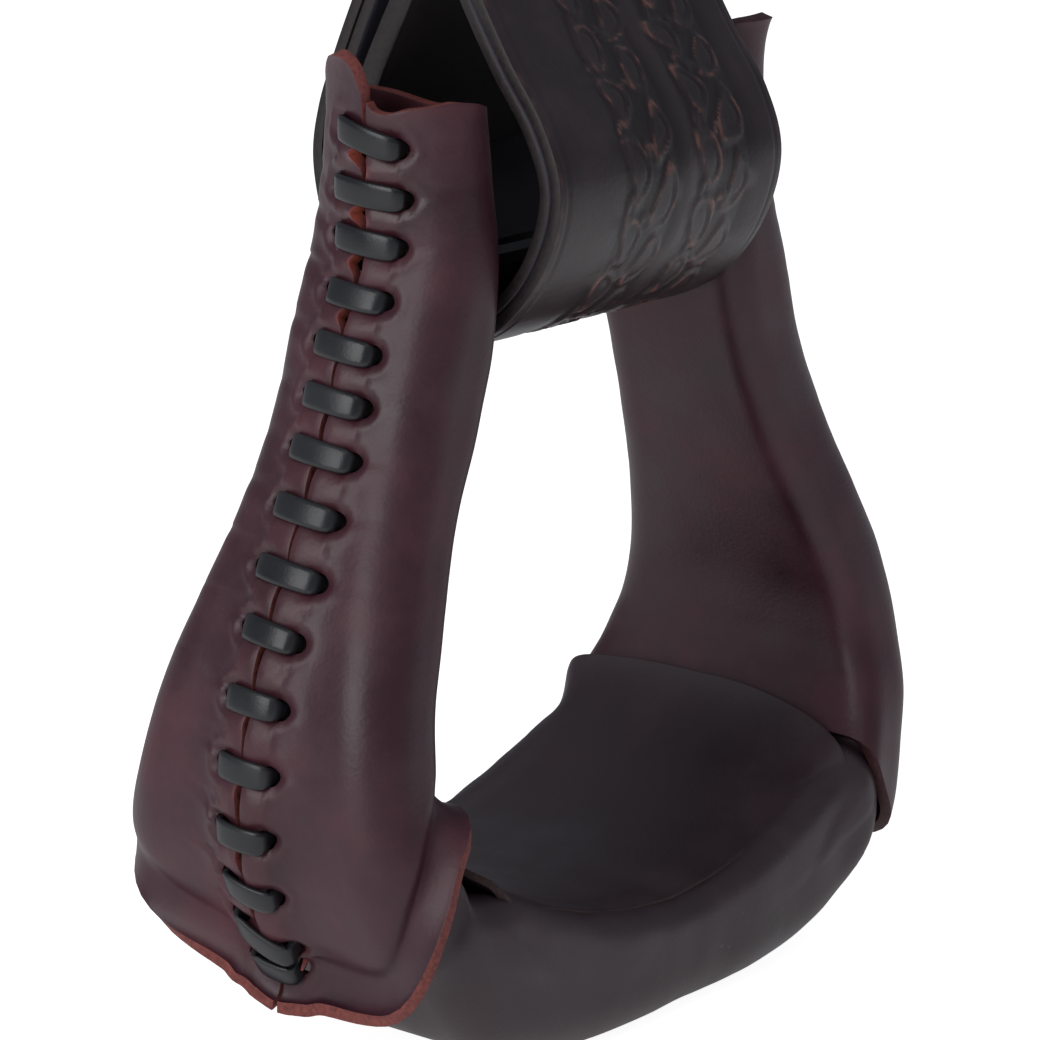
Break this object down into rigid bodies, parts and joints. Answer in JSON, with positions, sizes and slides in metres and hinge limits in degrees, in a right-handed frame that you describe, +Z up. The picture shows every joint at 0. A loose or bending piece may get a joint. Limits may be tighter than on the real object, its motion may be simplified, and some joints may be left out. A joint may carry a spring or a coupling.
{
  "type": "leather laced stirrup",
  "caption": "Bell-shaped wooden stirrup covered in leather, its legs laced down the outside, hung by a bolt and roller in the looped end of a stamped leather strap.",
  "frame": {"origin": "middle of the cut top face of the strap's outer ply, where the strap is held", "axes": "+Z up along the strap, +X across the stirrup from its left leg to its right leg, -Y the front, on which the strap's stamped side faces"},
  "size_m": [0.1976, 0.084, 0.302],
  "materials": {
    "side_leather": "smooth oxblood leather",
    "tread_leather": "smooth dark leather, lightly worn",
    "lace_leather": "satin black lace",
    "strap_leather": "dark oiled harness leather, stamped",
    "lining_leather": "dark harness leather, flesh side in",
    "wood": "plain bent hardwood",
    "steel": "plain steel"
  },
  "bodies": {
    "strap": {"strap_tooled_ply": "strap_leather", "strap_lining_ply": "lining_leather", "strap_billet": "strap_leather", "buckle_plate": "steel", "buckle_rivet_1": "steel", "buckle_rivet_2": "steel", "buckle_rivet_3": "steel", "buckle_rivet_4": "steel"},
    "sleeve": {"buckle_sleeve": "steel"},
    "stirrup": {"bent_bow": "wood", "tread_block": "wood", "tread_nail_1": "steel", "tread_nail_2": "steel", "tread_nail_3": "steel", "tread_nail_4": "steel", "side_cover_left": "side_leather", "side_cover_right": "side_leather", "lace_left": "lace_leather", "lace_right": "lace_leather", "tread_cover": "tread_leather", "bolt": "steel", "nut": "steel", "washer_left": "steel", "washer_right": "steel"},
    "roller": {"roller": "steel"}
  },
  "joints": [
    {"name": "stirrup_swing", "type": "hinge", "parent": "strap", "child": "stirrup", "pos_m": [0, 0, -0.144], "axis": [1, 0, 0], "range_deg": [-80, 80]},
    {"name": "roller_spin", "type": "hinge", "parent": "stirrup", "child": "roller", "pos_m": [0, 0, -0.144], "axis": [1, 0, 0], "continuous": true},
    {"name": "sleeve_slide", "type": "slide", "parent": "strap", "child": "sleeve", "axis": [0, 0, 1], "range_m": [-0.012, 0.017]}
  ]
}
